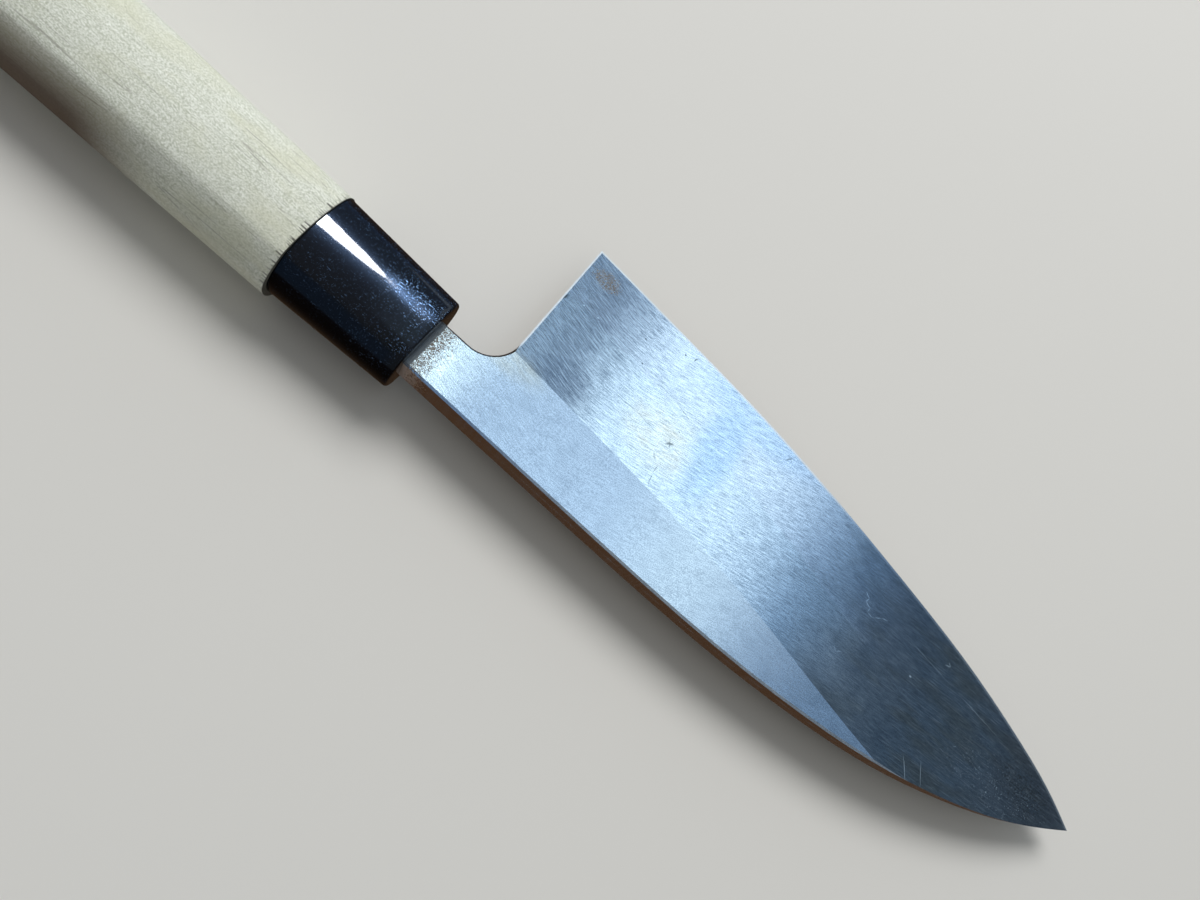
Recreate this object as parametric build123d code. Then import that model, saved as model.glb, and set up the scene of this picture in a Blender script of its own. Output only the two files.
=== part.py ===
from build123d import *
from math import cos, radians, sin
import os

# A left-handed deba: a heavy fish knife that is ground on one side only, with a slip-on handle.
# All sizes are in millimetres. While it is built, X runs from the ferrule's front face to the
# tip, Y from the spine to the cutting edge with the handle's axis at zero, and Z out of the
# ground side. The pieces are moved at the end, so that the knife lies over the origin.

# Blade
blade_length = 192.0
blade_thickness = 8.2
tip_thickness = 4.95
heel_depth = 56.8
tip_drop = 26.9
spine_rise = 7.16
neck_height = 13.1
chin_foot = 15.2
heel_place = 13.6
chin_radius = 8.0
bevel_width = 37.6
corner_break = 0.5

# Steel layer on the back
steel_thickness = 3.3
steel_start = 6.0
hollow_depth = 0.45
hollow_rim = 2.8

# Tang
tang_length = 96.0
tang_height = 10.6
tang_thickness = 6.2
tang_end_height = 5.6
tang_end_thickness = 3.2

# Grip: the ferrule and the handle have one outline, a rounded D, which grows outwards behind
grip_height = 21.6
grip_width = 17.0

# Ferrule
ferrule_length = 31.0
ferrule_front_growth = 1.0
ferrule_rear_growth = 2.25
ferrule_wall = 2.0
ferrule_front_wall = 3.0
ferrule_rim_radius = 0.6
rim_steps = 3

# Handle
handle_length = 135.0
handle_front_growth = 2.95
handle_butt_growth = 4.4
handle_lift = 0.5
butt_break = 1.6

# Fits
neck_clearance = 0.1
tang_clearance = 0.2
tenon_clearance = 0.15
overrun = 5.0

# The spine: along the blade as shares of its length, down from the spine's line as shares of the
# tip's drop. It runs all but straight over the first half and falls away to the tip.
spine_shares = (
    (0.0, 0.011),
    (0.15, 0.0),
    (0.3, -0.011),
    (0.43, -0.006),
    (0.53, 0.026),
    (0.62, 0.085),
    (0.72, 0.196),
    (0.82, 0.388),
    (0.91, 0.639),
    (1.0, 1.0),
    (1.03, 1.134),
)

# The cutting edge: along the blade, how far down it lies from the tip's level (0) to the heel's
# (1), and the width of the ground bevel there as a share of its width at the heel.
edge_shares = (
    (0.0, 1.01, 1.0),
    (0.07, 1.0, 1.0),
    (0.2, 0.957, 1.005),
    (0.35, 0.902, 1.015),
    (0.5, 0.797, 1.033),
    (0.65, 0.65, 1.052),
    (0.78, 0.492, 1.02),
    (0.88, 0.318, 0.955),
    (0.95, 0.16, 0.9),
    (1.0, 0.0, 0.87),
    (1.04, -0.15, 0.85),
)

# The hollow in the back: along the blade, and its depth there
hollow_shares = (
    (0.11, 0.12),
    (0.18, 0.6),
    (0.3, 1.0),
    (0.5, 1.0),
    (0.7, 0.9),
    (0.84, 0.65),
    (0.92, 0.35),
)

# The grip's outline, as shares of half its height (first, the edge side is positive) and half its
# width (second, the ground side is positive). Each row is a corner, the middle of the bowed side
# that starts there, and the corner's rounding. The second row is the soft ridge of the ground side.
grip_shares = (
    ((0.8, 0.76), (0.1, 1.0), 0.5),
    ((-0.62, 0.87), (-0.824, 0.6), 0.12),
    ((-0.985, 0.28), (-1.0, -0.06), 0.5),
    ((-0.82, -0.62), (-0.03, -0.93), 0.5),
    ((0.8, -0.6), (1.0, 0.02), 0.5),
)

back_level = -blade_thickness / 2
weld_level = back_level + steel_thickness


def spine_place(share, drop_share):
    return Vector(blade_length * share, tip_drop * drop_share - spine_rise)


def edge_drop(share):
    return tip_drop + (heel_depth - tip_drop) * share - spine_rise


def between(table, share):
    # the second value of a table of shares, read straight between its rows
    for before, after in zip(table, table[1:]):
        if share <= after[0]:
            part_way = (share - before[0]) / (after[0] - before[0])
            return before[1] + (after[1] - before[1]) * part_way
    return table[-1][1]


def flat_thickness(at):
    return blade_thickness - (blade_thickness - tip_thickness) * at / blade_length


def grinding_surface(level_above_back):
    # the ground bevel at one level above the back, as a curve along the blade
    points = []
    for share, drop, width in edge_shares:
        at = blade_length * share
        slope = flat_thickness(at) / (bevel_width * width)
        points.append(Vector(at, edge_drop(drop) - level_above_back / slope, back_level + level_above_back))
    return Spline(*points)


def blade_blank():
    # the outline, larger than the blade along the edge, where the grinding takes it away
    beyond = edge_drop(edge_shares[0][1]) + overrun
    chin_lean = (chin_foot - heel_place) / (heel_depth - neck_height)
    chin_end = Vector(chin_foot - chin_lean * (beyond + spine_rise - neck_height), beyond)
    spine = Spline(*[spine_place(*row) for row in spine_shares])
    throat = FilletPolyline(
        Vector(0, neck_height - spine_rise),
        Vector(chin_foot, neck_height - spine_rise),
        chin_end,
        radius=chin_radius,
    )
    rest = Polyline(spine @ 1, Vector((spine @ 1).X, beyond), chin_end)
    outline = spine + rest + throat + Line(throat @ 0, spine @ 0)
    face = Pos(0, 0, back_level) * make_face(outline)
    return extrude(face, blade_thickness)


def break_corners(blank):
    # the flat side's corners along the spine, the neck and the chin are eased
    flat_side = blank.faces().sort_by(Axis.Z)[-1]
    chin_side = flat_side.edges().filter_by(lambda edge: 0 < edge.center().X < chin_foot + corner_break)
    spine_side = flat_side.edges().sort_by(Axis.Y)[0]
    return chamfer(chin_side + [spine_side], corner_break)


def flat_side_waste():
    # the flat side leans towards the back along the blade, so the spine thins to the tip
    long = blade_length + 2 * overrun
    leaning = Plane.XZ * make_face(
        Polyline(
            Vector(0, back_level + blade_thickness),
            Vector(long, back_level + flat_thickness(long)),
            Vector(long, back_level + blade_thickness + overrun),
            Vector(0, back_level + blade_thickness + overrun),
            close=True,
        )
    )
    return extrude(leaning, heel_depth + overrun, both=True)


def bevel_waste():
    below = grinding_surface(-overrun / 2)
    above = grinding_surface(blade_thickness + overrun / 2)
    reach = 2 * (heel_depth + bevel_width)
    return extrude(Face.make_surface_from_curves(below, above), reach, dir=(0, 1, 0))


def tang():
    # the neck runs on at full size through the ferrule's front wall, and steps down behind it
    neck_top = spine_place(*spine_shares[0]).Y
    neck_foot = neck_height - spine_rise
    root = Pos(-ferrule_front_wall / 2, (neck_top + neck_foot) / 2) * Box(
        ferrule_front_wall, neck_foot - neck_top, blade_thickness
    )
    return root + spike(0)


def spike(clearance):
    thick = Plane.YZ.offset(-ferrule_front_wall) * Rectangle(
        tang_height + 2 * clearance, tang_thickness + 2 * clearance
    )
    thin = Plane.YZ.offset(-tang_length - clearance) * Rectangle(
        tang_end_height + 2 * clearance, tang_end_thickness + 2 * clearance
    )
    return loft([thin, thick], ruled=True)


def steel_region():
    long = blade_length + 2 * overrun - steel_start
    place = Pos(steel_start + long / 2, 0, weld_level - (steel_thickness + overrun) / 2)
    return place * Box(long, 2 * (heel_depth + overrun), steel_thickness + overrun)


def hollow():
    # shallow bows, each across the back between the rims that stay flat
    bows = []
    for share, depth_share in hollow_shares:
        at = blade_length * share
        top = spine_place(share, between(spine_shares, share)).Y + hollow_rim
        foot = edge_drop(between(edge_shares, share)) - hollow_rim
        depth = hollow_depth * depth_share
        low = Vector(at, foot, back_level)
        high = Vector(at, top, back_level)
        crest = Vector(at, (top + foot) / 2, back_level + depth)
        bows.append(make_face(ThreePointArc(low, crest, high) + Line(high, low)))
    return loft(bows)


def grip_outline(height, width):
    def place(shares):
        return Vector(0, shares[0] * height / 2, shares[1] * width / 2)

    sides = Curve()
    for (corner, middle, _), (following, _, _) in zip(grip_shares, grip_shares[1:] + grip_shares[:1]):
        sides += ThreePointArc(place(corner), place(middle), place(following))
    face = make_face(sides)
    for corner, _, rounding in grip_shares:
        nearest = face.vertices().sort_by_distance(place(corner))[0]
        face = fillet(nearest, rounding * width / 2)
    return face


def grip_face(at, growth, lift=0.0):
    # each arc of the outline keeps its centre and gains radius, so the grip's sides are true cones
    def grown(arc, share):
        outwards = arc @ share - arc.arc_center
        return arc @ share + outwards.normalized() * growth

    arcs = grip_outline(grip_height, grip_width).face().outer_wire().order_edges()
    sides = Curve()
    for arc, following in zip(arcs, arcs[1:] + arcs[:1]):
        sides += ThreePointArc(grown(arc, 0), grown(arc, 1 / 2), grown(following, 0))
    return Pos(at, -lift, 0) * make_face(sides)


def ferrule_growth(at):
    # how far the ferrule's outside has grown at a place behind its front face
    return ferrule_front_growth + (ferrule_rear_growth - ferrule_front_growth) * at / ferrule_length


def socket_form(start, end, clearance=0.0):
    # the ferrule's socket and the handle's tenon run straight, so that one slides into the other
    inset = ferrule_wall + clearance - ferrule_growth(ferrule_front_wall)
    outline = grip_outline(grip_height - 2 * inset, grip_width - 2 * inset)
    return extrude(Pos(-end, 0, 0) * outline, end - start, dir=(1, 0, 0))


def ferrule():
    # the front rim is rounded in a few steps round a quarter turn
    sections = [grip_face(-ferrule_length, ferrule_rear_growth)]
    for step in range(rim_steps + 1):
        turn = radians(90 * step / rim_steps)
        at = ferrule_rim_radius * (1 - sin(turn))
        sections.append(grip_face(-at, ferrule_growth(at) - ferrule_rim_radius * (1 - cos(turn))))
    shell = loft(sections, ruled=True)
    socket = socket_form(ferrule_front_wall, ferrule_length + overrun)
    neck_top = spine_place(*spine_shares[0]).Y
    neck_foot = neck_height - spine_rise
    slot = Pos(0, (neck_top + neck_foot) / 2) * Box(
        2 * (ferrule_front_wall + overrun),
        neck_foot - neck_top + 2 * neck_clearance,
        blade_thickness + 2 * neck_clearance,
    )
    return shell - socket - slot


def handle():
    grip = loft(
        [
            grip_face(-handle_length, handle_butt_growth - butt_break, handle_lift),
            grip_face(butt_break - handle_length, handle_butt_growth, handle_lift),
            grip_face(-ferrule_length, handle_front_growth, handle_lift),
        ],
        ruled=True,
    )
    tenon_front = ferrule_front_wall + tenon_clearance
    tenon = socket_form(tenon_front, ferrule_length + overrun, tenon_clearance)
    return grip + tenon - spike(tang_clearance)


blade = break_corners(blade_blank() - flat_side_waste()) - bevel_waste() + tang()
edge_steel = (blade & steel_region()) - hollow()
blade_iron = blade - steel_region()

pieces = {
    "blade_iron": blade_iron,
    "edge_steel": edge_steel,
    "ferrule": ferrule(),
    "handle": handle(),
}

# The knife lies on its back over the origin
box = Compound(children=[Part() + piece for piece in pieces.values()]).bounding_box()
lying = Pos(-box.center().X, -box.center().Y, -box.min.Z)

os.makedirs("parts", exist_ok=True)
for name, piece in pieces.items():
    export_step(lying * piece, f"parts/{name}.step")
    print(name, piece.is_valid, round(piece.volume, 1), "mm3")
print("moved by", lying.position)
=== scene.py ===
from math import atan2, cos, radians, sin
import bpy
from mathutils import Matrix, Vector


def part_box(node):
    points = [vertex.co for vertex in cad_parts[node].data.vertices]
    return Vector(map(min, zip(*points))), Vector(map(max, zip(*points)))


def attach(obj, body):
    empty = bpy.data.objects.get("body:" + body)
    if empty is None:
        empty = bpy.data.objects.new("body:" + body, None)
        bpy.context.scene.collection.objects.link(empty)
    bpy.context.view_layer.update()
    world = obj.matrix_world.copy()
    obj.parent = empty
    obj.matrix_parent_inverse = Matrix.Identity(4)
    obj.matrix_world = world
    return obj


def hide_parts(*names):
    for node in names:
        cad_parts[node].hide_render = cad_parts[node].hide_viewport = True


# A deba, ground on its left side only, lying over the floor with the ground side up.
# The blade runs along +X to the tip and its cutting edge is on the +Y side.

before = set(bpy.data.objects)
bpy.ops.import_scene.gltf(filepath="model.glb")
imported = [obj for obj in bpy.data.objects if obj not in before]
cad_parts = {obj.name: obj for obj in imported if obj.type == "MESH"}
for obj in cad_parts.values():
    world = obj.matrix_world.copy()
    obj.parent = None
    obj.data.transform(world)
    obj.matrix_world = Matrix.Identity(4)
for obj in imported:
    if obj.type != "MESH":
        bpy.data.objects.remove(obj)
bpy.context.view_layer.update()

steelLow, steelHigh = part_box("edge_steel")
ferruleLow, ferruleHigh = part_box("ferrule")


def toMm(metres):
    return metres * 1000


def paint(hexValue, strength=1.0):
    # an sRGB hex value as the linear colour that a socket takes
    parts = [int(hexValue[at:at + 2], 16) / 255 for at in (1, 3, 5)]
    linear = [c / 12.92 if c <= 0.04045 else ((c + 0.055) / 1.055) ** 2.4 for c in parts]
    return [c * strength for c in linear] + [1.0]


def addNode(tree, kind, links=(), out=0, **settings):
    # a node with its settings. What goes into its sockets is in links, in their order or by name:
    # a value or another node's output. It gives back one of the new node's outputs
    node = tree.nodes.new("ShaderNode" + kind)
    for name, value in settings.items():
        setattr(node, name, value)
    pairs = links.items() if isinstance(links, dict) else enumerate(links)
    for socket, source in pairs:
        if isinstance(source, bpy.types.NodeSocket):
            tree.links.new(source, node.inputs[socket])
        else:
            node.inputs[socket].default_value = source
    return node.outputs[out]


# settings that many nodes share. A MapRange that is soft takes a value, where it starts and ends,
# and what it becomes, which is 0 to 1 if nothing is said. A Mix inColour has the share on socket 0,
# what lies under on 6, what is laid over it on 7, and its colour on output 2.
soft = {"interpolation_type": "SMOOTHSTEP"}
inColour = {"data_type": "RGBA"}


# Camera, at the photograph's place over the knife
camera = {
    "placeMm": (-6.16, -86.46, 209.32),
    "turnDegrees": (13.135, -18.578, 38.936),
    "lensMm": 28.893,
    "sensorMm": 36.0,
    "clipStart": 0.01,
}


def makeCamera():
    place = [value / 1000 for value in camera["placeMm"]]
    turn = [radians(value) for value in camera["turnDegrees"]]
    bpy.ops.object.camera_add(location=place, rotation=turn)
    view = bpy.context.object
    view.data.lens = camera["lensMm"]
    view.data.sensor_width = camera["sensorMm"]
    view.data.clip_start = camera["clipStart"]
    bpy.context.scene.camera = view


# Room: a pale floor, a soft key light on the edge side and a fill on the spine's, the lamp that the
# ferrule mirrors, a pane of light for the blade, and the panels that the steel mirrors. A place
# round the knife is given in degrees: along, from square across it towards the tip, and round,
# from straight up towards the edge side.
room = {
    "floorSize": 4.0,
    "floorColour": "#DEDCD7",
    "floorRoughness": 0.9,
    "floorGloss": 0.2,
    "horizon": (0.02, -0.04),  # upward part of a mirrored direction where underColour starts, is full
    "shadeToLit": (-100.0, 60.0),  # degrees round, from the shaded side to the lit one
    "airColour": "#98A1A9",
    "underColour": "#4A3A2C",
    "litSideColour": "#A9AAA9",
    "shadeSideColour": "#34322E",
    "shownColour": "#E9E8E4",
    "lampAlong": -20.7,
    "lampRound": 29.0,
    "lampDistance": 1.5,
    "lampSize": (0.49, 0.76),
    "lampWatts": 110.0,
    "lampColour": "#F6FAFF",
    "paneAlong": -8.6,
    "paneRound": 20.0,
    "paneDistance": 1.5,
    "paneSize": (0.6, 0.25),
    "paneWatts": 1.0,
    "paneColour": "#EEFFF9",
    "keyAlong": -14.0,
    "keyRound": 33.0,
    "keyDistance": 1.5,
    "keySize": (0.8, 0.8),
    "keyWatts": 15.0,
    "keyColour": "#FFFFFF",
    "fillAlong": 24.0,
    "fillRound": -20.0,
    "fillDistance": 1.6,
    "fillSize": (1.6, 1.6),
    "fillWatts": 1.2,
    "fillColour": "#FFF6E8",
}

# each panel: along and round from and to, how soft its two ends along the blade are (the second
# also for its sides), how far they lean per degree round, and its light, which hides the air and
# the panels before it
panels = [
    {
        "along": (-16.0, 8.0), "round": (33, 76), "soft": (4.0, 4.0), "lean": (0.0, 0.0),
        "colour": "#718EAF", "strength": 1.3,
    },
    {
        "along": (28.0, 75.0), "round": (-30, 76), "soft": (3.0, 4.0), "lean": (0.0, 0.0),
        "colour": "#86919B", "strength": 1.34,
    },
    {
        "along": (-40.0, 2.0), "round": (-94, -58), "soft": (4.0, 9.0), "lean": (0.0, 0.0),
        "colour": "#7CA0CC", "strength": 0.85,
    },
    {
        "along": (-40.0, 2.0), "round": (72, 94), "soft": (4.0, 6.0), "lean": (0.0, 0.0),
        "colour": "#7FAAE4", "strength": 0.9,
    },
    {
        "along": (13.0, 26.5), "round": (34, 76), "soft": (2.0, 3.5), "lean": (0.0, 0.0),
        "colour": "#A2CFFF", "strength": 0.42,
    },
    {
        "along": (14.0, 33.0), "round": (2, 32), "soft": (2.0, 3.0), "lean": (0.0, 0.0),
        "colour": "#A8D2FF", "strength": 0.58,
    },
    {
        "along": (3.4, 17.4), "round": (33, 74), "soft": (1.7, 2.6), "lean": (0.24, 0.45),
        "colour": "#D8EDFF", "strength": 2.2,
    },
    {
        "along": (16.75, 19.0), "round": (33, 74), "soft": (1.25, 2.5), "lean": (0.45, 0.45),
        "colour": "#A9D2FF", "strength": 1.45,
    },
    {
        "along": (-4.5, 20.8), "round": (-8, 32), "soft": (1.8, 4.0), "lean": (0.0, 0.0),
        "colour": "#C6E2FC", "strength": 1.5,
    },
    {
        "along": (13.2, 18.6), "round": (4, 32), "soft": (2.5, 2.5), "lean": (0.0, 0.0),
        "colour": "#D2EAF8", "strength": 1.76,
    },
]


def roundTheKnife(along, roundIt, distance):
    # a place at some distance from the knife's middle
    across = cos(radians(along))
    return distance * Vector(
        (sin(radians(along)), across * sin(radians(roundIt)), across * cos(radians(roundIt)))
    )


def makeFloor():
    bpy.ops.mesh.primitive_plane_add(size=room["floorSize"])
    floor = bpy.context.object
    floor.name = "floor"
    paper = bpy.data.materials.new("pale_paper")  # matte and plain, with no pattern of its own
    paper.use_nodes = True
    shader = paper.node_tree.nodes["Principled BSDF"]
    shader.inputs["Base Color"].default_value = paint(room["floorColour"])
    shader.inputs["Roughness"].default_value = room["floorRoughness"]
    shader.inputs["Specular IOR Level"].default_value = room["floorGloss"]
    floor.data.materials.append(paper)
    floor.visible_glossy = False  # the steel mirrors the panels down to the horizon


def makeLight(name, mirroredBy=()):
    # with mirroredBy, the light falls on those pieces alone and their gloss shows it; without, it
    # falls on everything and no gloss shows it
    place = roundTheKnife(room[name + "Along"], room[name + "Round"], room[name + "Distance"])
    bpy.ops.object.light_add(type="AREA", location=place)
    light = bpy.context.object
    light.name = name
    light.rotation_euler = place.to_track_quat("Z", "X").to_euler()
    light.data.shape = "ELLIPSE"
    light.data.size, light.data.size_y = room[name + "Size"]
    light.data.energy = room[name + "Watts"]
    light.data.color = paint(room[name + "Colour"])[:3]
    light.visible_glossy = bool(mirroredBy)
    if mirroredBy:
        lit = bpy.data.collections.new(name + "_lights")
        for piece in mirroredBy:
            lit.objects.link(piece)
        light.light_linking.receiver_collection = lit


def makeRoomAir():
    world = bpy.data.worlds.new("studio")
    bpy.context.scene.world = world
    world.use_nodes = True
    tree = world.node_tree
    direction = addNode(tree, "TexCoord", out="Generated")
    parts = addNode(tree, "SeparateXYZ", {0: direction}).node.outputs
    along = addNode(tree, "Math", [parts["X"]], operation="ARCSINE")
    along = addNode(tree, "Math", [along], operation="DEGREES")
    roundIt = addNode(tree, "Math", [parts["Y"], parts["Z"]], operation="ARCTAN2")
    roundIt = addNode(tree, "Math", [roundIt], operation="DEGREES")
    mirrored = paint(room["airColour"])
    for panel in panels:
        (start, end), (low, high) = panel["along"], panel["round"]
        (softStart, softEnd), softRound = panel["soft"], panel["soft"][1]
        fromMiddle = addNode(tree, "Math", [roundIt, (low + high) / 2], operation="SUBTRACT")
        leaning = []
        for lean in panel["lean"]:
            leaning.append(addNode(tree, "Math", [fromMiddle, lean, along], operation="MULTIPLY_ADD"))
        sides = (
            (leaning[0], start - softStart, start + softStart),
            (leaning[1], end + softEnd, end - softEnd),
            (roundIt, low - softRound, low + softRound),
            (roundIt, high + softRound, high - softRound),
        )
        mask = 1.0
        for side in sides:
            within = addNode(tree, "MapRange", side, **soft)
            mask = addNode(tree, "Math", [within, mask], operation="MULTIPLY")
        glow = paint(panel["colour"], panel["strength"])
        mirrored = addNode(tree, "Mix", {0: mask, 6: mirrored, 7: glow}, 2, **inColour)
    under = addNode(tree, "MapRange", [parts["Z"], *room["horizon"]], **soft)
    underColour = paint(room["underColour"])
    mirrored = addNode(tree, "Mix", {0: under, 6: mirrored, 7: underColour}, 2, **inColour)
    # the matte surfaces are lit by a neutral air, which is darker on the spine's side
    shade, lit = paint(room["shadeSideColour"]), paint(room["litSideColour"])
    litSide = addNode(tree, "MapRange", [roundIt, *room["shadeToLit"]], **soft)
    scattered = addNode(tree, "Mix", {0: litSide, 6: shade, 7: lit}, 2, **inColour)
    rays = addNode(tree, "LightPath").node.outputs
    links = {0: rays["Is Diffuse Ray"], 6: mirrored, 7: scattered}
    light = addNode(tree, "Mix", links, 2, **inColour)
    links = {0: rays["Is Camera Ray"], 6: light, 7: paint(room["shownColour"])}
    light = addNode(tree, "Mix", links, 2, **inColour)
    tree.links.new(light, tree.nodes["Background"].inputs["Color"])


makeCamera()
makeFloor()
makeLight("key")
makeLight("fill")
makeRoomAir()
print("camera and room are ready")


# Pieces: each is a dressed copy of its CAD node, at the same size and place
mergeDistance = 2e-6  # metres


def dressedCopy(node, name, sharpDegrees):
    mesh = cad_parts[node].data.copy()
    piece = bpy.data.objects.new(name, mesh)
    bpy.context.scene.collection.objects.link(piece)
    bpy.ops.object.select_all(action="DESELECT")
    piece.select_set(True)
    bpy.context.view_layer.objects.active = piece
    mesh.materials.clear()
    if mesh.has_custom_normals:
        bpy.ops.mesh.customdata_custom_splitnormals_clear()
    bpy.ops.object.mode_set(mode="EDIT")
    bpy.ops.mesh.select_all(action="SELECT")
    bpy.ops.mesh.remove_doubles(threshold=mergeDistance)
    bpy.ops.object.mode_set(mode="OBJECT")
    bpy.ops.object.shade_smooth_by_angle(angle=radians(sharpDegrees))
    return piece


def strokeMap(piece):
    # a UV map whose U runs across the grinding strokes, which draws the gloss out that way
    layer = piece.data.uv_layers.new(name="strokes")
    for face in piece.data.polygons:
        onEnd = abs(face.normal.x) > blade["endFacing"]
        for at in face.loop_indices:
            x, y, z = piece.data.vertices[piece.data.loops[at].vertex_index].co
            lean = strokeSlope(toMm(x))
            layer.data[at].uv = (z, y) if onEnd else (y + z, x + lean * y)


def finishPiece(piece, node, material):
    piece.data.materials.append(material)
    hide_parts(node)
    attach(piece, "root")
    print(piece.name, "is dressed:", len(piece.data.polygons), "faces")


def newMaterial(name):
    material = bpy.data.materials.new(name)
    material.use_nodes = True
    return material, material.node_tree, material.node_tree.nodes["Principled BSDF"]


def placeInMm(tree):
    # the object's own coordinates in millimetres, and their three parts
    coordinates = addNode(tree, "TexCoord", out="Object")
    links = {0: coordinates, "Scale": 1000.0}
    place = addNode(tree, "VectorMath", links, operation="SCALE")
    parts = addNode(tree, "SeparateXYZ", {0: place}).node.outputs
    return place, parts["X"], parts["Y"], parts["Z"]


# Blade: soft iron over hard steel, ground by hand on a wheel and stones. The strokes give it a
# satin gloss that is drawn out across them, and use has toned it dark towards the tip. The strokes
# and the grain are drawn coarser than the real ones, as fine as they still show.
# A noise is the size of its patches in mm along, across and through (0 for drawn out all the way),
# its detail and how far it is warped. Shows is the noise's value where a pattern starts and where
# it is full. Two places in mm, or two facings, are where a change starts and where it is complete.
# A patch is a soft oval: its middle, half its size and, in some, its share. Two shares are for the
# bevel and for the flat, unless a note says otherwise.
blade = {
    "sharpDegrees": 6.5,
    "endFacing": 0.7,
    "spineFacing": (-0.8, -0.9),
    "upFacing": (0.2, 0.4),
    "flatFacing": (0.14, 0.08),
    "ironColour": "#CFD8DC",
    "steelColour": "#CED5DA",
    "flatColour": "#CED5DB",
    # the spine's warm tint is a painted reflection of brown wood below it
    "spineReflectionColour": "#DAC4B2",
    "roughness": (0.13, 0.26),  # where the texture is low and where it is high
    "roughnessShows": (0.2, 0.8),
    "rougher": 0.2,  # at the neck, on rust and where it is honed
    "metalLeft": 0.4,  # on rust and where it is honed; it is 1 elsewhere
    "anisotropy": 1.0,
    "strokeDepthMm": 0.002,
    "strokeRaised": (0.14, 0.1),
    # the line where the iron meets the steel
    "weldLevelMm": 3.3,
    "weldSoftMm": (-0.03, 0.05),
    "weldWanderMm": 0.7,
    "weldNoise": ((5, 5, 0), 3.0),
    # the honed edge and chin, painted pale as a highlight along them
    "honedGlintColour": "#E4EAEE",
    "honedLevelMm": 0.09,
    "honedSoftMm": 0.04,
    "honedFadeMm": (58.0, 78.0),
    "honedLeft": 0.25,
    "chinMm": ((-13.3, -11.0), (-14.9, 32.7)),
    "chinBandMm": (0.5, 0.25),
    "chinStartMm": (6.0, 10.0),
    # strokes, the fine grain between them, pale hair scratches and soft mottling
    "strokeNoise": ((3.0, 0.22, 0), 2.0),
    "grainNoise": ((0.25, 0.25, 0.25), 1.0),
    "grainShares": (0.4, 0.6),
    "strokeColour": "#8C97A2",
    "strokeShows": (0.34, 0.66),
    "strokeFadeMm": (4.0, 12.0),
    "strokeShares": (0.95, 0.66),  # at the heel and past it
    "strokeOnFlat": 0.48,
    "hairNoise": ((5.0, 0.24, 0), 1.0),
    "hairShows": (0.54, 0.68),
    "hairFadeMm": (5.0, 70.0),
    "hairShares": (0.6, 0.12),  # at the heel and towards the tip
    "hairOnFlat": 0.5,
    "mottleNoise": ((4.5, 3.0, 4.5), 4.0, 0.4),
    "mottleShows": (0.45, 0.75),
    "mottleShare": 0.16,
    # tones of the bare metal
    "creamColour": "#E6DCC6",
    "creamPatches": (((-12, -7), (14, 6)), ((24, 5), (18, 14))),
    "creamShare": 0.9,
    "blueColour": "#8FB2D2",
    "bluePatches": (((36.0, 14.0), (9, 28), 0.45), ((42.0, 28.0), (28, 11), 0.35)),
    # a painted dark reflection on the bevel at the heel
    "heelReflectionColour": "#4E6078",
    "heelReflectionPatches": (((-5.0, 12.0), (7, 36), 0.26), ((-2.0, -2.0), (11, 10), 0.46)),
    # patina, which comes on along the blade
    "cloudNoise": ((14, 14, 14), 5.0, 0.6),
    "cloudReachMm": 26.0,
    "patinaColour": "#6A7B8A",
    "patinaMm": (60.0, 110.0),
    "patinaShares": (1.0, 0.25),
    "tipPatinaColour": "#575E66",
    "tipPatinaMm": (118.0, 160.0),
    "tipPatinaShare": 0.8,
    "stainColour": "#5F6052",
    "stainNoise": ((22, 7, 0), 6.0, 0.3),
    "stainShows": (0.46, 0.66),
    "stainShare": 0.4,
    # rust in specks, behind the neck, at the heel and at the tip; at the neck a grey band, painted as
    # the ferrule's front mirrored in the blade
    "neckReflectionColour": "#6C6D6E",
    "neckBandMm": 1.1,
    "neckSoftMm": (0.25, -0.1),
    "rustColour": "#68553F",
    "speckNoise": ((0.45, 0.32, 0.4), 3.0, 1.6),
    "rustBandMm": 11.0,
    "neckRustFrom": (0.43, 0.8),  # the noise that makes a speck, at the neck and past its band
    "heelRustFrom": (0.8, 0.47),  # the same, outside the heel's patch and in its middle
    "heelPatch": ((-9.0, 27.0), (8, 5)),
    "rustSoft": 0.05,
    "rustShare": 0.85,
    "tipRustColour": "#1F1B15",
    "tipRustPatch": ((147, 2.5), (15, 9)),
    "tipRustShows": (0.46, 0.66),
    "tipRustShare": 0.75,
    "paleSpeckPatch": ((140, -3), (26, 12)),
    "paleSpeckShows": (0.36, 0.28),
    "paleSpeckShare": 0.95,
    # single marks
    "darkMarkColour": "#4A545A",
    "paleMarkColour": "#D5DFE4",
    "markWanderMm": 0.6,
    "markWander": (0.8, 1.5),  # its scale and detail
    "markSoft": (0.3, 1.1),
}

# how far the grinding strokes turn from the blade's own line, as a slope towards the edge
strokeSlopes = ((-30.0, -0.22), (-2.0, -0.2), (18.0, 0.25), (52.0, 0.26), (85.0, 0.1), (170.0, 0.08))


def strokeSlope(xMm):
    for (fromX, fromSlope), (toX, toSlope) in zip(strokeSlopes, strokeSlopes[1:]):
        if xMm <= toX:
            share = max(0.0, (xMm - fromX) / (toX - fromX))
            return fromSlope + (toSlope - fromSlope) * share
    return strokeSlopes[-1][1]


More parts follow.
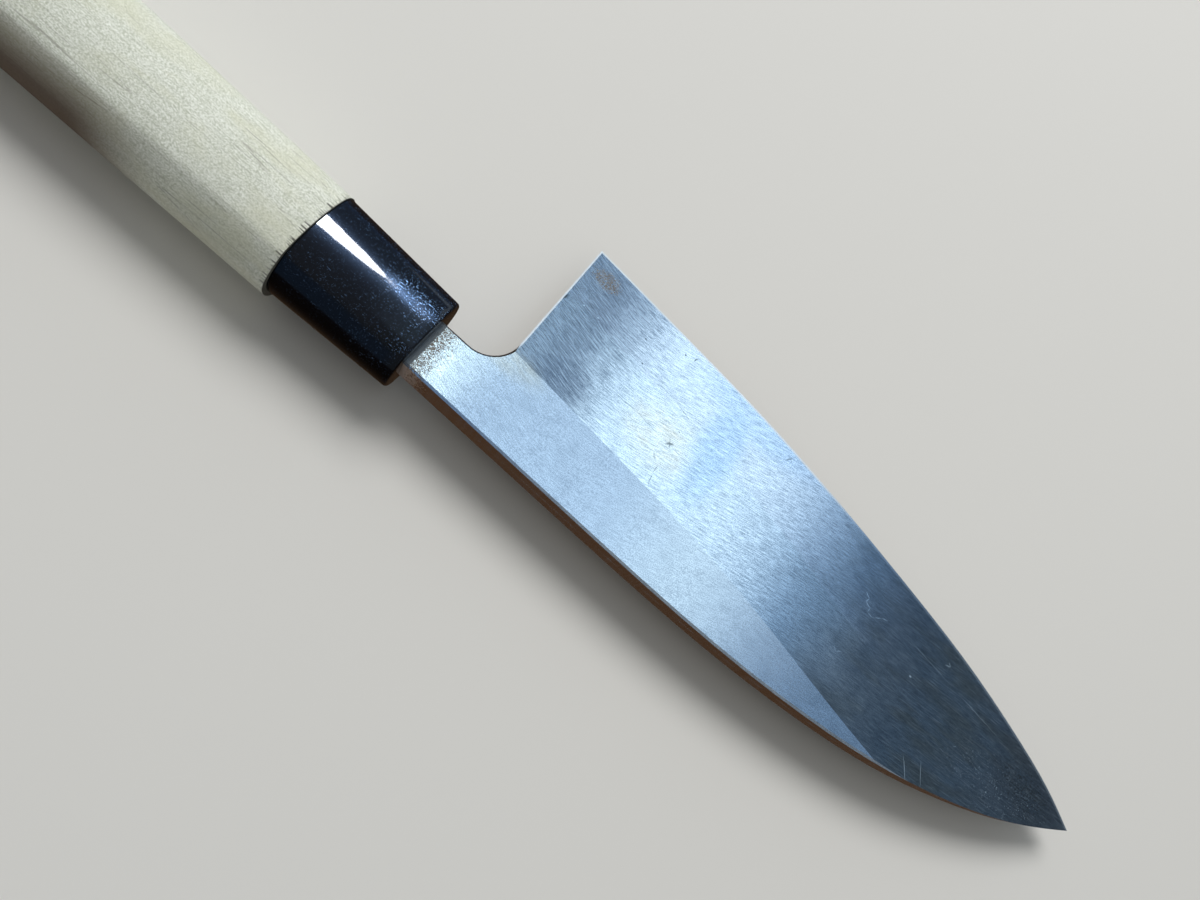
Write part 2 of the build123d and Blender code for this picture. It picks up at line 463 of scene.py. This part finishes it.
def strokeShift(tree, x):
    # the height that a stroke has climbed at x, as a curve from the slopes above
    start, end, steps = strokeSlopes[0][0], strokeSlopes[-1][0], 24
    share = addNode(tree, "MapRange", {"Value": x, "From Min": start, "From Max": end})
    step = (end - start) / steps
    climbed = [0.0]
    for count in range(steps):
        climbed.append(climbed[-1] + step * strokeSlope(start + (count + 0.5) * step))
    low, high = min(climbed), max(climbed)
    curve = addNode(tree, "FloatCurve", {"Value": share})
    points = curve.node.mapping.curves[0].points
    while len(points) < steps + 1:
        points.new(0.5, 0.5)
    for count, height in enumerate(climbed):
        points[count].location = (count / steps, (height - low) / (high - low))
    curve.node.mapping.update()
    return addNode(tree, "Math", [curve, high - low, low], operation="MULTIPLY_ADD")


# marks on the ground side, found on the knife: the points of each line in mm, half its width, and
# how strongly it shows (below zero is darker)
marks = (
    (((25.2, 4.4), (26.9, 5.7)), 0.4, -0.77),
    (((26.6, 4.2), (25.6, 5.8)), 0.3, -0.68),
    (((27.0, 4.9), (30.6, 4.3), (33.4, 4.4)), 0.12, -0.59),
    (((26.7, -1.2), (26.9, -3.6), (27.6, -7.0)), 0.14, -0.61),
    (((24.3, 0.4), (25.6, -0.6)), 0.3, -0.42),
    (((8.1, 5.1), (15.0, 5.4), (23.2, 4.9)), 0.1, -0.59),
    (((14.5, 15.6), (21.0, 15.2), (27.5, 13.5)), 0.13, -0.59),
    (((13.6, 16.5), (18.0, 16.3), (22.6, 15.1)), 0.9, -0.2),
    (((6.5, 22.2), (6.7, 22.4)), 0.3, -0.85),
    (((9.5, 16.4), (9.7, 16.4)), 0.26, -0.85),
    (((16.4, 27.1), (16.6, 27.0)), 0.28, -0.85),
    (((18.9, 27.2), (19.3, 29.0)), 0.2, -0.77),
    (((26.2, 9.3), (26.4, 9.3)), 0.22, -0.77),
    (((51.4, 24.8), (52.6, 26.6)), 0.2, -0.77),
    (((51.6, 26.2), (53.2, 25.4)), 0.18, -0.68),
    (((66.7, 3.3), (74.0, 3.2), (82.5, 3.5)), 0.12, -0.42),
    (((86.2, 12.9), (87.6, 11.9), (87.0, 10.7), (88.9, 10.2)), 0.22, 0.75),
    (((88.9, 10.2), (88.5, 8.7), (91.0, 8.9), (92.8, 10.4), (94.6, 11.0)), 0.16, 0.56),
    (((85.1, -4.1), (86.3, -5.0), (87.6, -4.2)), 0.2, 0.44),
    (((106.1, 3.9), (106.4, 3.9)), 0.36, 0.88),
    (((113.6, 13.2), (115.0, 13.8), (114.2, 14.4)), 0.2, 0.44),
    (((113.0, -12.4), (117.0, -18.2)), 0.13, 0.62),
    (((118.1, -10.7), (121.0, -16.6)), 0.12, 0.56),
    (((100.2, 11.5), (118.0, 9.9), (135.7, 8.3)), 0.12, 0.28),
    (((-9.3, 17.0), (-9.0, 17.1)), 0.26, 0.9),
    (((-5.1, 17.2), (-4.9, 17.3)), 0.24, 0.9),
    (((-13.9, 14.6), (-13.5, 16.1)), 0.45, -0.95),
)

throughMm = 1e4  # a mark or a patch goes through everything
patchCore = 0.2  # a patch is full from its middle to here, and ends at 1


def farFrom(tree, place, centreMm, halfMm, turn=0.0):
    # how far a place is from the middle of an oval that stands through the blade, 1 at its rim
    local = addNode(
        tree,
        "Mapping",
        {
            "Vector": place,
            "Location": (*centreMm, 0.0),
            "Rotation": (0.0, 0.0, turn),
            "Scale": (*halfMm, throughMm),
        },
        vector_type="TEXTURE",
    )
    return addNode(tree, "VectorMath", {0: local}, "Value", operation="LENGTH")


def markShares(tree, place):
    # how dark and how pale the marks make each place, their lines wandering a little
    shares = {"dark": 0.0, "pale": 0.0}
    scale, detail = blade["markWander"]
    reach = blade["markWanderMm"]
    links = {"Vector": place, "Scale": scale, "Detail": detail}
    wander = addNode(tree, "TexNoise", links, 1)
    links = {0: wander, 1: (reach, reach, 0.0), 2: place}
    moved = addNode(tree, "VectorMath", links, operation="MULTIPLY_ADD")
    for points, halfWidth, strength in marks:
        kind = "dark" if strength < 0 else "pale"
        for (fromX, fromY), (toX, toY) in zip(points, points[1:]):
            run = Vector((toX - fromX, toY - fromY))
            middle = ((fromX + toX + reach) / 2, (fromY + toY + reach) / 2)
            half = (run.length / 2 + halfWidth, halfWidth)
            away = farFrom(tree, moved, middle, half, atan2(run.y, run.x))
            mask = addNode(tree, "MapRange", [away, *blade["markSoft"], abs(strength), 0.0], **soft)
            shares[kind] = addNode(tree, "Math", [mask, shares[kind]], operation="MAXIMUM")
    return shares["dark"], shares["pale"]


def noise(tree, place, sizesMm, detail=3.0, distortion=0.0):
    # soft noise from 0 to 1, its patches about as large as the three sizes
    scale = [1 / size if size else 0.0 for size in sizesMm]
    drawnOut = addNode(tree, "Mapping", {"Vector": place, "Scale": scale})
    links = {"Vector": drawnOut, "Scale": 1.0, "Detail": detail, "Distortion": distortion}
    return addNode(tree, "TexNoise", links)


def patch(tree, place, centreMm, halfMm):
    # 1 in the middle of a soft oval patch, 0 outside it
    away = farFrom(tree, place, centreMm, halfMm)
    return addNode(tree, "MapRange", [away, patchCore, 1.0, 1.0, 0.0], **soft)


def patchShare(tree, place, patches):
    # the largest share that some patches have at each place
    largest = 0.0
    for centreMm, halfMm, share in patches:
        within = patch(tree, place, centreMm, halfMm)
        within = addNode(tree, "MapRange", [within, 0.0, 1.0, 0.0, share], **soft)
        largest = addNode(tree, "Math", [within, largest], operation="MAXIMUM")
    return largest


def honedGlintPlaces(tree, x, y, level):
    # the strips that the stones leave along the cutting edge and up the chin, painted pale as
    # highlights there
    line, spread = blade["honedLevelMm"], blade["honedSoftMm"]
    alongEdge = addNode(tree, "MapRange", [level, line + spread, line - spread], **soft)
    fade = addNode(tree, "MapRange", [x, *blade["honedFadeMm"], 1.0, blade["honedLeft"]], **soft)
    alongEdge = addNode(tree, "Math", [alongEdge, fade], operation="MULTIPLY")
    (throatX, throatY), (heelX, heelY) = blade["chinMm"]
    slope = (heelX - throatX) / (heelY - throatY)
    chinX = addNode(tree, "Math", [y, slope, throatX - slope * throatY], operation="MULTIPLY_ADD")
    onChin = addNode(tree, "Math", [x, chinX], operation="SUBTRACT")
    onChin = addNode(tree, "MapRange", [onChin, *blade["chinBandMm"]], **soft)
    start, full = blade["chinStartMm"]
    pastThroat = addNode(tree, "MapRange", [y, throatY + start, throatY + full], **soft)
    onChin = addNode(tree, "Math", [onChin, pastThroat], operation="MULTIPLY")
    return addNode(tree, "Math", [alongEdge, onChin], operation="MAXIMUM")


def bareTone(tree, place, level, onFlat, mottle):
    # the clean metal, and where it isn't the flat; the weld wanders a little round its level
    wanders = noise(tree, place, *blade["weldNoise"])
    reach = blade["weldWanderMm"]
    weld = addNode(tree, "Math", [level, reach / 2], operation="SUBTRACT")
    weld = addNode(tree, "Math", [wanders, reach, weld], operation="MULTIPLY_ADD")
    softWeld = [blade["weldLevelMm"] + edge for edge in blade["weldSoftMm"]]
    inIron = addNode(tree, "MapRange", [weld, *softWeld], **soft)
    steelColour, ironColour = paint(blade["steelColour"]), paint(blade["ironColour"])
    tone = addNode(tree, "Mix", {0: inIron, 6: steelColour, 7: ironColour}, 2, **inColour)
    tone = addNode(tree, "Mix", {0: onFlat, 6: tone, 7: paint(blade["flatColour"])}, 2, **inColour)
    cream = 0.0
    for centreMm, halfMm in blade["creamPatches"]:
        within = patch(tree, place, centreMm, halfMm)
        cream = addNode(tree, "Math", [within, cream], operation="MAXIMUM")
    cream = addNode(tree, "Math", [cream, mottle], operation="MULTIPLY")
    cream = addNode(tree, "MapRange", [cream, 0.0, 1.0, 0.0, blade["creamShare"]], **soft)
    tone = addNode(tree, "Mix", {0: cream, 6: tone, 7: paint(blade["creamColour"])}, 2, **inColour)
    offFlat = addNode(tree, "MapRange", [onFlat, 1.0, 0.0], **soft)
    blue = patchShare(tree, place, blade["bluePatches"])
    blue = addNode(tree, "Math", [blue, offFlat], operation="MULTIPLY")
    tone = addNode(tree, "Mix", {0: blue, 6: tone, 7: paint(blade["blueColour"])}, 2, **inColour)
    return tone, offFlat


def patinaAndReflectionTone(tree, place, lined, x, onFlat, offFlat, tone):
    # use has darkened the blade towards the tip, in clouds; at the heel a dark reflection is painted
    # on the bevel
    cloud = noise(tree, place, *blade["cloudNoise"])
    reach = blade["cloudReachMm"]
    cloudyX = addNode(tree, "Math", [x, reach / 2], operation="SUBTRACT")
    cloudyX = addNode(tree, "Math", [cloud, reach, cloudyX], operation="MULTIPLY_ADD")
    strongest = addNode(tree, "MapRange", [onFlat, 0.0, 1.0, *blade["patinaShares"]], **soft)
    patina = addNode(tree, "MapRange", [cloudyX, *blade["patinaMm"]], **soft)
    patina = addNode(tree, "Math", [patina, strongest], operation="MULTIPLY")
    tone = addNode(
        tree, "Mix", {0: patina, 6: tone, 7: paint(blade["patinaColour"])}, 2, **inColour
    )
    stain = noise(tree, lined, *blade["stainNoise"])
    stain = addNode(
        tree, "MapRange", [stain, *blade["stainShows"], 0.0, blade["stainShare"]], **soft
    )
    stain = addNode(tree, "Math", [patina, stain], operation="MULTIPLY")
    tone = addNode(tree, "Mix", {0: stain, 6: tone, 7: paint(blade["stainColour"])}, 2, **inColour)
    # painted reflection: the bevel darkened in patches at the heel
    heelReflection = patchShare(tree, place, blade["heelReflectionPatches"])
    heelReflection = addNode(tree, "Math", [heelReflection, offFlat], operation="MULTIPLY")
    tone = addNode(tree, "Mix", {0: heelReflection, 6: tone, 7: paint(blade["heelReflectionColour"])}, 2, **inColour)
    tipPatina = addNode(
        tree, "MapRange", [cloudyX, *blade["tipPatinaMm"], 0.0, blade["tipPatinaShare"]], **soft
    )
    return addNode(
        tree, "Mix", {0: tipPatina, 6: tone, 7: paint(blade["tipPatinaColour"])}, 2, **inColour
    )


def workedTone(tree, place, lined, x, onFlat, texture, mottle, tone):
    # strokes, hair scratches, mottling and the single marks
    strokeColour, paleColour = paint(blade["strokeColour"]), paint(blade["paleMarkColour"])
    deepest = addNode(tree, "MapRange", [x, *blade["strokeFadeMm"], *blade["strokeShares"]], **soft)
    deepest = addNode(tree, "MapRange", [onFlat, 0.0, 1.0, deepest, blade["strokeOnFlat"]], **soft)
    strokes = addNode(tree, "MapRange", [texture, *blade["strokeShows"], 0.0, deepest], **soft)
    tone = addNode(
        tree, "Mix", {0: strokes, 6: tone, 7: strokeColour}, 2, **inColour, blend_type="MULTIPLY"
    )
    palest = addNode(tree, "MapRange", [onFlat, 0.0, 1.0, 1.0, blade["hairOnFlat"]], **soft)
    faded = addNode(tree, "MapRange", [x, *blade["hairFadeMm"], *blade["hairShares"]], **soft)
    palest = addNode(tree, "Math", [faded, palest], operation="MULTIPLY")
    hairs = noise(tree, lined, *blade["hairNoise"])
    hairs = addNode(tree, "MapRange", [hairs, *blade["hairShows"], 0.0, palest], **soft)
    tone = addNode(tree, "Mix", {0: hairs, 6: tone, 7: paleColour}, 2, **inColour)
    mottled = addNode(
        tree, "MapRange", [mottle, *blade["mottleShows"], 0.0, blade["mottleShare"]], **soft
    )
    tone = addNode(
        tree, "Mix", {0: mottled, 6: tone, 7: strokeColour}, 2, **inColour, blend_type="MULTIPLY"
    )
    dark, pale = markShares(tree, place)
    tone = addNode(
        tree, "Mix", {0: dark, 6: tone, 7: paint(blade["darkMarkColour"])}, 2, **inColour
    )
    return addNode(tree, "Mix", {0: pale, 6: tone, 7: paleColour}, 2, **inColour)


def rustTone(tree, place, x, tone):
    # specks of rust, pale specks near the tip and a grey band at the neck, painted as the ferrule's
    # front mirrored there; also where the rust and the neck are
    specks = noise(tree, place, *blade["speckNoise"])
    bladeStart = toMm(ferruleHigh.x)
    neckEnd, bandEnd = bladeStart + blade["neckBandMm"], bladeStart + blade["rustBandMm"]
    atNeck = addNode(tree, "MapRange", [x, neckEnd, bandEnd, *blade["neckRustFrom"]], **soft)
    atHeel = patch(tree, place, *blade["heelPatch"])
    atHeel = addNode(tree, "MapRange", [atHeel, 0.0, 1.0, *blade["heelRustFrom"]], **soft)
    needed = addNode(tree, "Math", [atNeck, atHeel], operation="MINIMUM")
    past = addNode(tree, "Math", [specks, needed], operation="SUBTRACT")
    rust = addNode(
        tree, "MapRange", [past, 0.0, blade["rustSoft"], 0.0, blade["rustShare"]], **soft
    )
    tone = addNode(tree, "Mix", {0: rust, 6: tone, 7: paint(blade["rustColour"])}, 2, **inColour)
    tipRust = addNode(
        tree, "MapRange", [specks, *blade["tipRustShows"], 0.0, blade["tipRustShare"]], **soft
    )
    atTip = patch(tree, place, *blade["tipRustPatch"])
    tipRust = addNode(tree, "Math", [atTip, tipRust], operation="MULTIPLY")
    tone = addNode(
        tree, "Mix", {0: tipRust, 6: tone, 7: paint(blade["tipRustColour"])}, 2, **inColour
    )
    paleSpecks = addNode(
        tree, "MapRange", [specks, *blade["paleSpeckShows"], 0.0, blade["paleSpeckShare"]], **soft
    )
    atTip = patch(tree, place, *blade["paleSpeckPatch"])
    paleSpecks = addNode(tree, "Math", [atTip, paleSpecks], operation="MULTIPLY")
    tone = addNode(
        tree, "Mix", {0: paleSpecks, 6: tone, 7: paint(blade["paleMarkColour"])}, 2, **inColour
    )
    # painted reflection: a grey band at the neck, as the ferrule's front mirrored in the blade, which
    # is also rougher
    softNeck = [neckEnd + edge for edge in blade["neckSoftMm"]]
    neck = addNode(tree, "MapRange", [x, *softNeck], **soft)
    tone = addNode(tree, "Mix", {0: neck, 6: tone, 7: paint(blade["neckReflectionColour"])}, 2, **inColour)
    return tone, rust, neck


def groundMetal(name):
    material, tree, shader = newMaterial(name)
    place, x, y, z = placeInMm(tree)
    level = addNode(tree, "Math", [z, toMm(steelLow.z)], operation="SUBTRACT")
    normal = addNode(tree, "NewGeometry", out="Normal")
    facing = addNode(tree, "SeparateXYZ", {0: normal}).node.outputs
    onSpine = addNode(tree, "MapRange", [facing["Y"], *blade["spineFacing"]], **soft)
    facesUp = addNode(tree, "MapRange", [facing["Z"], *blade["upFacing"]], **soft)
    onFlat = addNode(tree, "MapRange", [facing["Y"], *blade["flatFacing"]], **soft)
    onFlat = addNode(tree, "Math", [onFlat, facesUp], operation="MULTIPLY")
    honedGlint = addNode(tree, "Math", [honedGlintPlaces(tree, x, y, level), facesUp], operation="MULTIPLY")
    # the texture: strokes, drawn out along their curved lines, with grain between them
    climbed = addNode(tree, "Math", [y, strokeShift(tree, x)], operation="SUBTRACT")
    lined = addNode(tree, "CombineXYZ", {0: x, 1: climbed, 2: z})
    strokes = noise(tree, lined, *blade["strokeNoise"])
    grain = noise(tree, place, *blade["grainNoise"])
    grainShare = addNode(tree, "MapRange", [onFlat, 0.0, 1.0, *blade["grainShares"]], **soft)
    texture = addNode(tree, "Mix", {0: grainShare, 6: strokes, 7: grain}, 2, **inColour)
    mottle = noise(tree, place, *blade["mottleNoise"])
    # colour, from the bare metal up
    tone, offFlat = bareTone(tree, place, level, onFlat, mottle)
    tone = patinaAndReflectionTone(tree, place, lined, x, onFlat, offFlat, tone)
    tone = workedTone(tree, place, lined, x, onFlat, texture, mottle, tone)
    tone, rust, neck = rustTone(tree, place, x, tone)
    # painted reflection: the spine is tinted warm brown, as brown wood below mirrored in it
    tone = addNode(
        tree, "Mix", {0: onSpine, 6: tone, 7: paint(blade["spineReflectionColour"])}, 2, **inColour
    )
    # painted highlight: pale strips along the honed edge and chin
    tone = addNode(tree, "Mix", {0: honedGlint, 6: tone, 7: paint(blade["honedGlintColour"])}, 2, **inColour)
    tree.links.new(tone, shader.inputs["Base Color"])
    honedGlintOrRust = addNode(tree, "Math", [rust, honedGlint], operation="MAXIMUM")
    metal = addNode(tree, "MapRange", [honedGlintOrRust, 0.0, 1.0, 1.0, blade["metalLeft"]], **soft)
    tree.links.new(metal, shader.inputs["Metallic"])
    roughness = addNode(
        tree, "MapRange", [texture, *blade["roughnessShows"], *blade["roughness"]], **soft
    )
    rougher = addNode(tree, "Math", [neck, honedGlintOrRust], operation="MAXIMUM")
    roughness = addNode(
        tree, "Math", [rougher, blade["rougher"], roughness], operation="MULTIPLY_ADD"
    )
    tree.links.new(roughness, shader.inputs["Roughness"])
    shader.inputs["Anisotropic"].default_value = blade["anisotropy"]
    tangent = addNode(tree, "Tangent", direction_type="UV_MAP", uv_map="strokes")
    tree.links.new(tangent, shader.inputs["Tangent"])
    raised = addNode(tree, "MapRange", [onFlat, 0.0, 1.0, *blade["strokeRaised"]], **soft)
    links = {"Height": texture, "Strength": raised, "Distance": blade["strokeDepthMm"] / 1000}
    tree.links.new(addNode(tree, "Bump", links), shader.inputs["Normal"])
    return material


def makeBlade():
    pieces = []
    for node, slotName, materialName in (
        ("blade_iron", "soft_iron", "satin_ground_iron"),
        ("edge_steel", "hard_steel", "satin_ground_steel"),
    ):
        piece = dressedCopy(node, "ground_" + node, blade["sharpDegrees"])
        strokeMap(piece)
        finishPiece(piece, node, groundMetal(materialName))
        pieces.append(piece)
    return pieces


# Ferrule: black moulded plastic, polished, then worn by a few fine scratches, which are drawn
# coarser than real ones so that they show. The region is where they gather. The haze and the
# scratch shares have one value off the wiped patch and one on it. The wiped patch lies along the
# lamp's highlight: the pale scratches gathered there are a painted highlight.
ferrule = {
    "sharpDegrees": 25,
    "colour": "#030304",
    "scuffColour": "#7FA6D4",
    "hazeColour": "#7FA6DC",
    "roughness": 0.24,
    "haze": (0.06, 0.24),
    "gloss": 0.34,
    "glossRoughness": (0.05, 0.09),  # clean and scuffed
    "scratchRoughness": 0.25,
    "scuffStartMm": -45.0,
    "scuffBandMm": 8.0,
    "regionNoise": ((5, 4, 5), 3.0, 0.8),
    "scuffShows": (0.4, 0.66),
    "wornShows": (0.58, 0.8),
    "wornShares": (0.24, 0.55),  # how much of the scratches shows, clean and worn
    "scratches": (
        (((1.1, 0.13, 0.13), 1.0, 0.15), (0.68, 0.76)),  # along the ferrule
        (((0.13, 0.6, 0.6), 1.0, 0.15), (0.7, 0.78)),  # round it
        (((0.2, 0.2, 0.2), 1.0), (0.66, 0.78)),  # specks
    ),
    "wipedGlintMm": (-35.5, 3.2),  # along, and across from the ferrule's middle
    "wipedGlintHalfMm": (11, 3.4),
    "wipedGlintFull": 0.6,
    "scratchShares": (0.5, 0.85),
}


def polishedPlastic():
    material, tree, shader = newMaterial("polished_black_plastic")
    place, x = placeInMm(tree)[:2]
    start = ferrule["scuffStartMm"]
    region = noise(tree, place, *ferrule["regionNoise"])
    scuffed = addNode(tree, "MapRange", [region, *ferrule["scuffShows"]], **soft)
    atFront = addNode(tree, "MapRange", [x, start, start + ferrule["scuffBandMm"]], **soft)
    scuffed = addNode(tree, "Math", [atFront, scuffed], operation="MULTIPLY")
    scratches = 0.0
    for pattern, shows in ferrule["scratches"]:
        lines = addNode(tree, "MapRange", [noise(tree, place, *pattern), *shows], **soft)
        scratches = addNode(tree, "Math", [lines, scratches], operation="MAXIMUM")
    worn = addNode(tree, "MapRange", [region, *ferrule["wornShows"]], **soft)
    worn = addNode(tree, "Math", [scuffed, worn], operation="MAXIMUM")
    worn = addNode(tree, "MapRange", [worn, 0.0, 1.0, *ferrule["wornShares"]], **soft)
    # painted highlight: the wiped patch follows the lamp's highlight, and the pale scratches gathered
    # there carry it on towards the front
    along, across = ferrule["wipedGlintMm"]
    middleY = toMm(ferruleLow.y + ferruleHigh.y) / 2
    wipedGlint = patch(tree, place, (along, middleY + across), ferrule["wipedGlintHalfMm"])
    scratched = addNode(tree, "Math", [worn, wipedGlint], operation="ADD")
    scratches = addNode(tree, "Math", [scratches, scratched], operation="MULTIPLY", use_clamp=True)
    share = addNode(
        tree, "MapRange", [wipedGlint, 0.0, ferrule["wipedGlintFull"], *ferrule["scratchShares"]], **soft
    )
    share = addNode(tree, "MapRange", [scratches, 0.0, 1.0, 0.0, share], **soft)
    tone = addNode(
        tree,
        "Mix",
        {0: share, 6: paint(ferrule["colour"]), 7: paint(ferrule["scuffColour"])},
        2,
        **inColour,
    )
    tree.links.new(tone, shader.inputs["Base Color"])
    # a polished face over a faint, wide and bluish haze from years of wiping
    shader.inputs["Roughness"].default_value = ferrule["roughness"]
    haze = addNode(tree, "MapRange", [wipedGlint, 0.0, 1.0, *ferrule["haze"]], **soft)
    tree.links.new(haze, shader.inputs["Specular IOR Level"])
    shader.inputs["Specular Tint"].default_value = paint(ferrule["hazeColour"])
    shader.inputs["Coat Weight"].default_value = ferrule["gloss"]
    roughness = addNode(tree, "MapRange", [scuffed, 0.0, 1.0, *ferrule["glossRoughness"]], **soft)
    roughness = addNode(
        tree, "Math", [scratches, ferrule["scratchRoughness"], roughness], operation="MULTIPLY_ADD"
    )
    tree.links.new(roughness, shader.inputs["Coat Roughness"])
    return material


def makeFerrule():
    piece = dressedCopy("ferrule", "moulded_ferrule", ferrule["sharpDegrees"])
    finishPiece(piece, "ferrule", polishedPlastic())
    return piece


# Handle: bare ho wood, sanded, with fine straight grain. The grain and the pores are drawn about
# 0.14 mm wide, coarser than real ones, so that they show.
handle = {
    "sharpDegrees": 30,
    "roughness": 0.62,
    # pale wood, darker in its grain and in soft wool, with cream clouds
    "paleColour": "#F6F8EE",
    "darkColour": "#BEC2AF",
    "grainNoise": ((9.0, 0.14, 0.14), 4.0),
    "woolNoise": ((0.42, 0.18, 0.18), 3.0),
    "grainAndWool": (0.3, 0.7),  # their shares
    "grainShows": (0.38, 0.62),
    "creamColour": "#D6D6BA",
    "cloudNoise": ((16.0, 7.0, 7.0), 3.0, 0.4),
    "cloudShows": (0.4, 0.75),
    "cloudShare": 0.5,
    # hairlines where one year's wood meets the next, and short pores
    "lineColour": "#98968A",
    "yearNoise": ((140.0, 5.0, 5.0), 1.0),
    "years": 6.0,
    "lineHalfWidths": (0.035, 0.01),  # in years: where a line starts and where it is full
    "lineShows": (0.4, 0.6),
    "lineShare": 0.75,
    "poreNoise": ((1.1, 0.14, 0.14), 1.0),
    "poreShows": (0.64, 0.74),
    "poreShare": 0.45,
    "raised": 0.3,
    "raisedMm": 0.03,
    # painted shade: the flank on the spine's side is darker towards the butt
    "flankShadeColour": "#5E4733",
    "flankShadeFacing": (-0.5, -0.95),
    "flankShadeMm": (-84.0, -110.0),
    "flankShadeShare": 0.92,
    # the ferrule's joint has stained the ends of the fibres
    "stainColour": "#2A2119",
    "fibreNoise": ((0, 0.3, 0.3), 1.0),
    "fibreShows": (0.52, 0.66),
    "stainMm": (0.12, 1.5),  # how far it reaches, at least and at most
    "stainSoftMm": 0.12,
    "stainShare": 0.85,
}


def bareWood():
    material, tree, shader = newMaterial("sanded_ho_wood")
    place, x = placeInMm(tree)[:2]
    grain = noise(tree, place, *handle["grainNoise"])
    wool = noise(tree, place, *handle["woolNoise"])
    grainShare, woolShare = handle["grainAndWool"]
    mixed = addNode(tree, "Math", [wool, woolShare], operation="MULTIPLY")
    mixed = addNode(tree, "Math", [grain, grainShare, mixed], operation="MULTIPLY_ADD")
    mixed = addNode(tree, "MapRange", [mixed, *handle["grainShows"]], **soft)
    tone = addNode(
        tree,
        "Mix",
        {0: mixed, 6: paint(handle["paleColour"]), 7: paint(handle["darkColour"])},
        2,
        **inColour,
    )
    clouds = noise(tree, place, *handle["cloudNoise"])
    clouds = addNode(
        tree, "MapRange", [clouds, *handle["cloudShows"], 0.0, handle["cloudShare"]], **soft
    )
    tone = addNode(
        tree, "Mix", {0: clouds, 6: tone, 7: paint(handle["creamColour"])}, 2, **inColour
    )
    years = noise(tree, place, *handle["yearNoise"])
    years = addNode(tree, "Math", [years, handle["years"]], operation="MULTIPLY")
    yearPlace = addNode(tree, "Math", [years], operation="FRACT")
    offLine = addNode(tree, "Math", [yearPlace, 0.5], operation="SUBTRACT")
    offLine = addNode(tree, "Math", [offLine], operation="ABSOLUTE")
    strength = addNode(
        tree, "MapRange", [grain, *handle["lineShows"], 0.0, handle["lineShare"]], **soft
    )
    lines = addNode(tree, "MapRange", [offLine, *handle["lineHalfWidths"]], **soft)
    lines = addNode(tree, "Math", [lines, strength], operation="MULTIPLY")
    tone = addNode(tree, "Mix", {0: lines, 6: tone, 7: paint(handle["lineColour"])}, 2, **inColour)
    pores = noise(tree, place, *handle["poreNoise"])
    pores = addNode(tree, "MapRange", [pores, *handle["poreShows"]], **soft)
    poreShare = addNode(tree, "Math", [pores, handle["poreShare"]], operation="MULTIPLY")
    tone = addNode(
        tree, "Mix", {0: poreShare, 6: tone, 7: paint(handle["lineColour"])}, 2, **inColour
    )
    # painted shade: the flank that faces the spine's side turns dark brown towards the butt
    normal = addNode(tree, "NewGeometry", out="Normal")
    sideways = addNode(tree, "SeparateXYZ", {0: normal}, "Y")
    flankShade = addNode(
        tree, "MapRange", [x, *handle["flankShadeMm"], 0.0, handle["flankShadeShare"]], **soft
    )
    onFlank = addNode(tree, "MapRange", [sideways, *handle["flankShadeFacing"]], **soft)
    flankShade = addNode(tree, "Math", [onFlank, flankShade], operation="MULTIPLY")
    tone = addNode(
        tree, "Mix", {0: flankShade, 6: tone, 7: paint(handle["flankShadeColour"])}, 2, **inColour
    )
    fibres = noise(tree, place, *handle["fibreNoise"])
    reach = [toMm(ferruleLow.x) - length for length in handle["stainMm"]]
    reach = addNode(tree, "MapRange", [fibres, *handle["fibreShows"], *reach], **soft)
    past = addNode(tree, "Math", [x, reach], operation="SUBTRACT")
    stain = addNode(
        tree, "MapRange", [past, 0.0, handle["stainSoftMm"], 0.0, handle["stainShare"]], **soft
    )
    tone = addNode(tree, "Mix", {0: stain, 6: tone, 7: paint(handle["stainColour"])}, 2, **inColour)
    tree.links.new(tone, shader.inputs["Base Color"])
    shader.inputs["Roughness"].default_value = handle["roughness"]
    height = addNode(tree, "Math", [grain, pores], operation="SUBTRACT")
    links = {"Height": height, "Strength": handle["raised"], "Distance": handle["raisedMm"] / 1000}
    tree.links.new(addNode(tree, "Bump", links), shader.inputs["Normal"])
    return material


def makeHandle():
    piece = dressedCopy("handle", "ho_wood_handle", handle["sharpDegrees"])
    finishPiece(piece, "handle", bareWood())


groundPieces = makeBlade()
blackFerrule = makeFerrule()
makeHandle()
makeLight("lamp", [blackFerrule])
makeLight("pane", groundPieces)

bpy.context.scene.view_settings.view_transform = "Standard"
